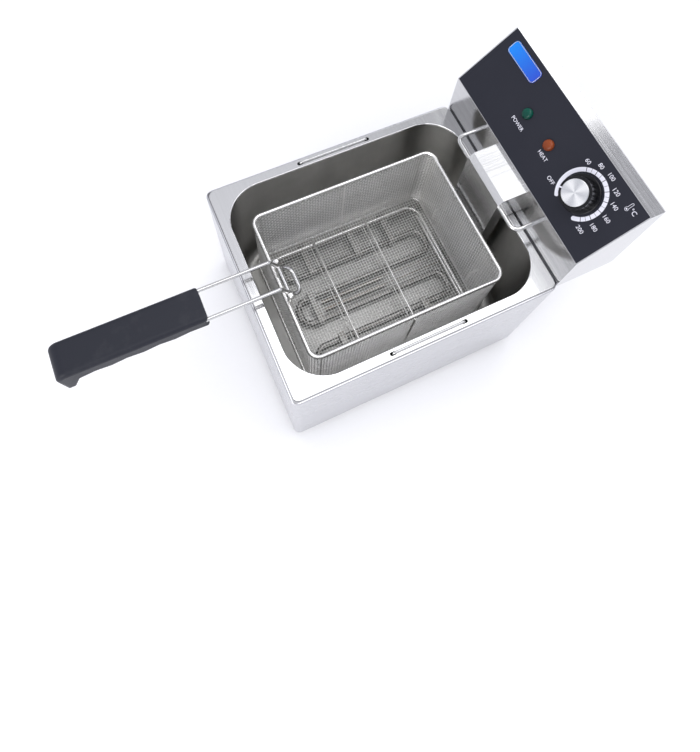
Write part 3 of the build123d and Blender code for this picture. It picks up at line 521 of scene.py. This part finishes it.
# %% A mesh of many tubes
class Tubes:
    """Collects tubes, then becomes one object."""

    def __init__(self, radius, sides=4):
        self.radius = radius
        self.sides = sides
        self.verts = []
        self.faces = []

    def add(self, points, up, closed=False):
        """One tube along the points; up is any direction that it never follows."""
        first = len(self.verts)
        count = len(points)
        for i, point in enumerate(points):
            before = points[i - 1] if i or closed else point
            after = points[(i + 1) % count] if i + 1 < count or closed else point
            along = (after - before).normalized()
            side = along.cross(up).normalized()
            rise = side.cross(along)
            for k in range(self.sides):
                turn = 2 * math.pi * (k + 0.5) / self.sides
                offset = side * math.cos(turn) + rise * math.sin(turn)
                self.verts.append(point + offset * self.radius)
        for i in range(count if closed else count - 1):
            here = first + i * self.sides
            there = first + (i + 1) % count * self.sides
            for k in range(self.sides):
                n = (k + 1) % self.sides
                self.faces.append((here + k, here + n, there + n, there + k))
        if not closed:
            last = first + (count - 1) * self.sides
            self.faces.append(tuple(first + k for k in reversed(range(self.sides))))
            self.faces.append(tuple(last + k for k in range(self.sides)))

    def build(self, name):
        return make_piece(name, self.verts, self.faces)


def make_piece(name, verts, faces, smooth=True):
    """A mesh object from its corners, in metres, and its faces."""
    mesh = bpy.data.meshes.new(name)
    mesh.from_pydata([tuple(v) for v in verts], [], faces)
    mesh.polygons.foreach_set("use_smooth", [smooth] * len(mesh.polygons))
    mesh.validate()
    piece = bpy.data.objects.new(name, mesh)
    bpy.context.scene.collection.objects.link(piece)
    return piece


def dress(piece, slot, body):
    """Give a new piece its finish and the body that it moves with."""
    piece.data.materials.append(finishes[slot])
    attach(piece, body)
    return piece


print("tube builder is ready")

# %% [markdown]
# ## The basket's wire cloth
# Real cloth is woven: each wire passes over one neighbour and under the next,
# and keeps that crimp. The basket is a rounded rectangle seen from above, so the
# level wires run around it and the upright ones stand side by side. A point's
# place comes from its distance along that outline, and whether a wire bulges out
# or in comes from whether the sum of row and column is odd.

# %% The basket's outline
# all lengths in metres
PITCH = 0.0038
WIRE_R = 0.00043
CRIMP = 0.00042
CORNER = 0.012
left_low, left_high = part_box("basket_mesh_left")
front_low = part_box("basket_mesh_front")[0]
rear_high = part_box("basket_mesh_rear")[1]
CLOTH = left_high.x - left_low.x
HALF_W = -(left_low.x + left_high.x) / 2
HALF_L = (rear_high.y - front_low.y - CLOTH) / 2
MID_Y = (rear_high.y + front_low.y) / 2
STRAIGHT_W = HALF_W - CORNER
STRAIGHT_L = HALF_L - CORNER
BEND = CORNER * math.pi / 2
ROUND = 4 * (STRAIGHT_W + STRAIGHT_L + BEND)


def outline(s):
    """Point and outward direction, s metres to the right of the middle of the front."""
    s = s % ROUND
    corners = ((1, -1, -90), (1, 1, 0), (-1, 1, 90), (-1, -1, 180))
    runs = (STRAIGHT_W, 2 * STRAIGHT_L, 2 * STRAIGHT_W, 2 * STRAIGHT_L)
    for (cx, cy, start), run in zip(corners, runs):
        out = Vector((math.cos(math.radians(start)), math.sin(math.radians(start)), 0))
        centre = Vector((cx * STRAIGHT_W, MID_Y + cy * STRAIGHT_L, 0))
        if s < run:
            return centre + out * CORNER - Vector((-out.y, out.x, 0)) * (run - s), out
        s -= run
        if s < BEND:
            turn = math.radians(start) + s / CORNER
            out = Vector((math.cos(turn), math.sin(turn), 0))
            return centre + out * CORNER, out
        s -= BEND
    return Vector((s - STRAIGHT_W, MID_Y - HALF_L, 0)), Vector((0, -1, 0))


print("cloth outline is", round(ROUND / MM), "mm around")

# %% Weave the four walls
COLUMNS = 2 * round(ROUND / PITCH / 2)
STEP = ROUND / COLUMNS
WALL_LOW = left_low.z
WALL_HIGH = left_high.z
ROWS = round((WALL_HIGH - WALL_LOW) / PITCH)
ROW_STEP = (WALL_HIGH - WALL_LOW) / ROWS
RISE = Vector((0, 0, 1))


def bulge(row, column):
    """How far out a level wire stands at a crossing, or at the middle between two."""
    return CRIMP * math.cos(math.pi * (row + column))


def weave_wall(name, first, last):
    """The wall between two columns, counted from the middle of the front."""
    cloth = Tubes(WIRE_R)
    for row in range(ROWS + 1):
        line = []
        for half in range(2 * first, 2 * last + 1):
            point, out = outline(half * STEP / 2)
            z = WALL_LOW + row * ROW_STEP
            line.append(point + out * bulge(row, half / 2) + RISE * z)
        cloth.add(line, RISE)
    for column in range(first, last):
        point, out = outline(column * STEP)
        line = []
        for half in range(2 * ROWS + 1):
            z = WALL_LOW + half * ROW_STEP / 2
            line.append(point - out * bulge(half / 2, column) + RISE * z)
        cloth.add(line, out)
    piece = dress(cloth.build("cloth_" + name), "basket_mesh", "basket")
    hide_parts("basket_mesh_" + name)
    return piece


front_end = round((STRAIGHT_W + BEND) / STEP)
rear_start = round((STRAIGHT_W + BEND + 2 * STRAIGHT_L) / STEP)
walls = {
    "front": (-front_end, front_end),
    "right": (front_end, rear_start),
    "rear": (rear_start, COLUMNS - rear_start),
    "left": (COLUMNS - rear_start, COLUMNS - front_end),
}
for name, (first, last) in walls.items():
    piece = weave_wall(name, first, last)
    print(piece.name, len(piece.data.polygons), "faces")

# %% [markdown]
# The floor of the basket is a flat piece of the same cloth, cut to the rounded
# outline. Each wire is as long as the outline allows where it lies.


# %% Weave the floor
def reach(offset, straight_across, straight_along):
    """Half the length of a wire that lies this far from the middle."""
    past = abs(offset) - straight_across
    if past <= 0:
        return straight_along + CORNER
    return straight_along + math.sqrt(max(CORNER**2 - past**2, 0.0))


def weave_floor():
    cloth = Tubes(WIRE_R)
    low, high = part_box("basket_mesh_bottom")
    level = (low.z + high.z) / 2
    across_count = int(HALF_W / PITCH)
    along_count = int(HALF_L / PITCH)
    directions = (
        (across_count, STRAIGHT_W, STRAIGHT_L, Vector((1, 0, 0)), Vector((0, 1, 0)), 1),
        (along_count, STRAIGHT_L, STRAIGHT_W, Vector((0, 1, 0)), Vector((1, 0, 0)), -1),
    )
    middle = Vector((0, MID_Y, level))
    for count, across, along, aside, ahead, sign in directions:
        for n in range(-count, count + 1):
            half_length = reach(n * PITCH, across, along)
            steps = int(2 * half_length / PITCH)
            line = [
                middle + aside * n * PITCH + ahead * h * PITCH / 2 + RISE * sign * bulge(n, h / 2)
                for h in range(-steps, steps + 1)
            ]
            cloth.add(line, RISE)
    piece = dress(cloth.build("cloth_floor"), "basket_mesh", "basket")
    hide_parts("basket_mesh_bottom")
    return piece


floor_cloth = weave_floor()
print(floor_cloth.name, len(floor_cloth.data.polygons), "faces")

# %% [markdown]
# ## Weld beads
# The basket's wires are spot-welded where they cross, and each weld leaves a
# small flattened bead. They are flattened balls that differ a little in size,
# made from lists of crossing points.


# %% Beads where wires meet
BEAD_FLAT = 0.7


def beads(name, points, radius):
    """One flattened ball at each point, as rings of corners from top to bottom."""
    verts, faces = [], []
    rings, sides = 5, 8
    for n, point in enumerate(points):
        wide = radius * (1 + 0.15 * math.sin(12.9 * n))
        first = len(verts)
        for i in range(rings + 1):
            tilt = math.pi * i / rings
            for k in range(sides):
                turn = 2 * math.pi * k / sides
                level = Vector((math.cos(turn), math.sin(turn), 0)) * math.sin(tilt)
                verts.append(point + (level + RISE * BEAD_FLAT * math.cos(tilt)) * wide)
        for i in range(rings):
            for k in range(sides):
                a = first + i * sides + k
                b = first + i * sides + (k + 1) % sides
                faces.append((a, a + sides, b + sides, b))
    return dress(make_piece(name, verts, faces), "basket_wire", "basket")


side_low, side_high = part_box("basket_side_wires")
STAY_X = (side_high.x + HALF_W) / 2
STAY_Y = (side_low.y + side_high.y) / 2
STAY_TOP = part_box("basket_rim")[0].z + 0.0004
# two pairs of cross wires run over the inner loop of the basket's floor
INNER_LOOP_X = 0.083
PAIR_Y, PAIR_HALF = (-0.048, 0.032), 0.0028
CROSS_WIRE_Y = [y + d for y in PAIR_Y for d in (-PAIR_HALF, PAIR_HALF)]
CROSS_WIRE_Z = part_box("basket_bottom_frame")[1].z + 0.0016
rim_welds = [Vector((s * STAY_X, STAY_Y, STAY_TOP)) for s in (-1, 1)]
floor_welds = [Vector((s * INNER_LOOP_X, y, CROSS_WIRE_Z)) for s in (-1, 1) for y in CROSS_WIRE_Y]
beads("weld_beads_rim", rim_welds, 0.0016)
beads("weld_beads_floor", floor_welds, 0.0015)
print(len(rim_welds) + len(floor_welds), "weld beads")

# %% [markdown]
# ## Print on the panel
# The scale is screen-printed: a pale band around the knob, cut by thin gaps at
# each number and halfway between, and plain sans-serif figures. Print has almost
# no thickness, so each mark is a flat sheet that floats about a tenth of a
# millimetre above the film. The band is built from its angles; letters come from
# text objects.

# %% The band around the knob
PRINT_OUT = 0.00012
BAND_MIDDLE, BAND_HALF = 0.0266, 0.0024
# all angles in degrees, counted from the right of the knob
BAND_START, BAND_END = 240.0, -57.0
WIDE_GAP, THIN_GAP = 0.75, 0.4
NUMBERS = {
    "60": 135, "80": 111, "100": 86, "120": 60, "140": 37, "160": 13, "180": -12, "200": -35,
}


def dial_point(radius, degrees):
    turn = math.radians(degrees)
    across = DIAL_ACROSS + radius * math.cos(turn)
    return on_panel(across, DIAL_UP + radius * math.sin(turn), PRINT_OUT)


def band():
    """The scale's strip, one piece of it between each pair of gaps."""
    verts, faces = [], []
    major = sorted(NUMBERS.values())
    minor = [(a + b) / 2 for a, b in zip(major, major[1:])]
    cuts = sorted([(a, WIDE_GAP) for a in major] + [(a, THIN_GAP) for a in minor])
    edges = [BAND_END] + [e for a, w in cuts for e in (a - w, a + w)] + [BAND_START]
    for start, end in zip(edges[::2], edges[1::2]):
        count = max(2, int((end - start) / 2))
        first = len(verts)
        for i in range(count + 1):
            angle = start + (end - start) * i / count
            # the two outer ends of the band are round
            arc = math.radians(min(angle - BAND_END, BAND_START - angle)) * BAND_MIDDLE
            width = math.sqrt(max(0.0, BAND_HALF**2 - max(0.0, BAND_HALF - arc) ** 2))
            verts.append(dial_point(BAND_MIDDLE - width, angle))
            verts.append(dial_point(BAND_MIDDLE + width, angle))
        for i in range(count):
            a = first + 2 * i
            faces.append((a, a + 1, a + 3, a + 2))
    return dress(make_piece("print_dial_band", verts, faces, smooth=False), "white_mark", "head")


scale_band = band()
print(len(scale_band.data.polygons), "faces in the dial band")


# %% Figures and words
def letters(name, text, size, across, up):
    """Flat text centred on a point of the panel, reading along its width."""
    drawn = bpy.data.curves.new(name, "FONT")
    drawn.body = text
    drawn.size = size
    drawn.align_x = "CENTER"
    drawn.align_y = "CENTER"
    drawn.resolution_u = 3
    outline_object = bpy.data.objects.new(name + "_outline", drawn)
    bpy.context.scene.collection.objects.link(outline_object)
    bpy.context.view_layer.update()
    evaluated = outline_object.evaluated_get(bpy.context.evaluated_depsgraph_get())
    mesh = bpy.data.meshes.new_from_object(evaluated)
    bpy.data.objects.remove(outline_object)
    turn = Matrix((ACROSS, UP, OUT)).transposed().to_4x4()
    mesh.transform(Matrix.Translation(on_panel(across, up, PRINT_OUT)) @ turn)
    mesh.name = name
    piece = bpy.data.objects.new(name, mesh)
    bpy.context.scene.collection.objects.link(piece)
    piece.data.materials.clear()
    return dress(piece, "white_mark", "head")


LABEL_R, LABEL_DROP = 0.0372, 0.001
NUMBER_SIZE = 0.0067
for text, angle in NUMBERS.items():
    turn = math.radians(angle)
    # a figure of two digits is narrower, so it may stand nearer to the band
    near = 1.0 if len(text) > 2 else 0.95
    across = DIAL_ACROSS + LABEL_R * math.cos(turn) * near
    up = DIAL_UP - LABEL_DROP + (LABEL_R - LABEL_DROP) * math.sin(turn)
    letters("print_number_" + text, text, NUMBER_SIZE, across, up)

# name, text, size, how far across from the middle and how far up from the lip
WORDS = (
    ("print_off", "OFF", 0.0064, DIAL_ACROSS - 0.0318, DIAL_UP - 0.0190),
    ("print_power", "POWER", 0.0062, -0.0375, 0.0293),
    ("print_heat", "HEAT", 0.0062, 0.0112, 0.0329),
    ("print_celsius", "C", 0.0072, 0.1180, 0.0775),
)
for word in WORDS:
    letters(*word)
print(len(NUMBERS) + len(WORDS), "pieces of lettering")

# %% [markdown]
# Beside the letter C stand a small degree ring and a thermometer symbol. The
# thermometer is an outline, a bulb with a round-ended stem, with a disc in its
# bulb for the liquid.


# %% Degree ring and thermometer
BULB_ACROSS, BULB_UP = 0.1098, 0.0743


def flat_ring(name, centre_across, centre_up, inner, outer):
    verts, faces = [], []
    count = 24
    for i in range(count):
        turn = 2 * math.pi * i / count
        for radius in (inner, outer):
            across = centre_across + radius * math.cos(turn)
            verts.append(on_panel(across, centre_up + radius * math.sin(turn), PRINT_OUT))
    for i in range(count):
        a, b = 2 * i, 2 * ((i + 1) % count)
        faces.append((a, a + 1, b + 1, b))
    return dress(make_piece(name, verts, faces, smooth=False), "white_mark", "head")


def thermometer():
    """Outline of a bulb and stem, drawn as one closed thin tube."""
    stem, bulb_r, tall = 0.0011, 0.0020, 0.0075
    neck = math.asin(stem / bulb_r)
    bulb_steps, top_steps = 16, 8
    path = []
    for i in range(bulb_steps + 1):
        turn = math.pi / 2 + neck + (2 * math.pi - 2 * neck) * i / bulb_steps
        path.append((bulb_r * math.cos(turn), bulb_r * math.sin(turn)))
    for i in range(top_steps + 1):
        turn = math.pi * i / top_steps
        path.append((stem * math.cos(turn), tall + stem * math.sin(turn)))
    line = Tubes(0.00028)
    line.add([on_panel(BULB_ACROSS + x, BULB_UP + y) for x, y in path], OUT, closed=True)
    return dress(line.build("print_thermometer"), "white_mark", "head")


flat_ring("print_degree", 0.1141, 0.0795, 0.0005, 0.00095)
flat_ring("print_thermometer_bulb", BULB_ACROSS, BULB_UP, 0.0, 0.0009)
thermometer()
print("symbols drawn")

# %% [markdown]
# The badge gets a raised silver border. It is a thin tube around the plate's
# rounded outline, so that its edge catches the light.


# %% Badge border
BADGE_HALF_TALL, BADGE_CORNER = 0.0085, 0.0042
BORDER_INSET, BORDER_OUT = 0.0008, 0.0008


def badge_border():
    """One closed tube around the plate's edge, corner by corner."""
    low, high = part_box("name_badge")
    middle = (low + high) / 2
    up_middle = (middle - LIP).dot(UP)
    run_across = (high.x - low.x) / 2 - BORDER_INSET - BADGE_CORNER
    run_up = BADGE_HALF_TALL - BORDER_INSET - BADGE_CORNER
    line = Tubes(0.00035, sides=6)
    path = []
    corner_steps = 8
    for cx, cy, start in ((1, 1, 0), (-1, 1, 90), (-1, -1, 180), (1, -1, 270)):
        for i in range(corner_steps + 1):
            turn = math.radians(start + 90 * i / corner_steps)
            across = middle.x + cx * run_across + BADGE_CORNER * math.cos(turn)
            up = up_middle + cy * run_up + BADGE_CORNER * math.sin(turn)
            path.append(on_panel(across, up, BORDER_OUT))
    line.add(path, OUT, closed=True)
    return dress(line.build("badge_border"), "fastener_steel", "head")


badge_border()
print("badge finished")

# %% [markdown]
# ## The studio
# The fryer stands on a white floor under a large soft light, with smaller ones
# behind and in front, and a white room around it. Steel shows whatever surrounds
# it, so the room is not evenly white: a greyer band high up shows in the sheet
# that faces it, and that is what gives the steel its form.

# %% Floor
floor_finish = Finish("studio_floor")
paper = floor_finish.noise((180, 180, 180), detail=4.0)
floor_colour = floor_finish.mix(paper, (0.93, 0.93, 0.945, 1), (0.96, 0.96, 0.97, 1))
floor_finish.finish(floor_colour, 0.6 + (paper - 0.5) * 0.1, paper, 0.00002)
FLOOR_HALF = 6
corners = [(x * FLOOR_HALF, y * FLOOR_HALF, 0) for x, y in ((-1, -1), (1, -1), (1, 1), (-1, 1))]
floor = make_piece("studio_floor", corners, [(0, 1, 2, 3)], smooth=False)
floor.data.materials.append(floor_finish.material)
print("floor laid")

# %% White room
world = bpy.data.worlds.new("white_room")
world.use_nodes = True
bpy.context.scene.world = world
room = Tree(world.node_tree)
# brightness against how steeply one looks up, from the horizon to the zenith
ROOM_LEVELS = (
    (0.0, 0.97),
    (0.3, 0.88),
    (0.64, 0.88),
    (0.74, 0.50),
    (0.805, 0.50),
    (0.86, 0.82),
    (0.93, 0.92),
    (1.0, 0.95),
)
ROOM_TINT = (0.955, 0.965, 1.03)
direction = room.node("ShaderNodeTexCoord", output="Generated")
levels = [(height, (*(level * share for share in ROOM_TINT), 1)) for height, level in ROOM_LEVELS]
wall_colour = room.node("ShaderNodeValToRGB", {"stops": levels}, {0: room.part("Z", direction)})
room.feed(room.tree.nodes["Background"].inputs["Color"], wall_colour)
print("room lit from", ROOM_LEVELS[0][1], "to", ROOM_LEVELS[-1][1])


# %% Soft lights
def soft_light(name, place, target, size, watts, tint=(1, 1, 1)):
    """A rectangle of light that faces its target."""
    data = bpy.data.lights.new(name, "AREA")
    data.shape = "RECTANGLE"
    data.size, data.size_y = size
    data.energy = watts
    data.color = tint
    light = bpy.data.objects.new(name, data)
    light.location = place
    light.rotation_euler = (Vector(target) - Vector(place)).to_track_quat("-Z", "Y").to_euler()
    bpy.context.scene.collection.objects.link(light)


soft_light("top_light", (0.02, 0.2, 1.6), (0.02, 0.2, 0.0), (0.95, 1.4), 7.0)
soft_light("back_light", (-1.06, 1.28, 1.6), (-1.06, 1.28, 0.0), (1.06, 0.66), 5.5)
soft_light("front_light", (0.9, -1.5, 1.2), (0, 0, 0.15), (1.1, 1.1), 17, (1.0, 0.995, 0.98))
bpy.context.scene.view_settings.view_transform = "Standard"
print("lights on")
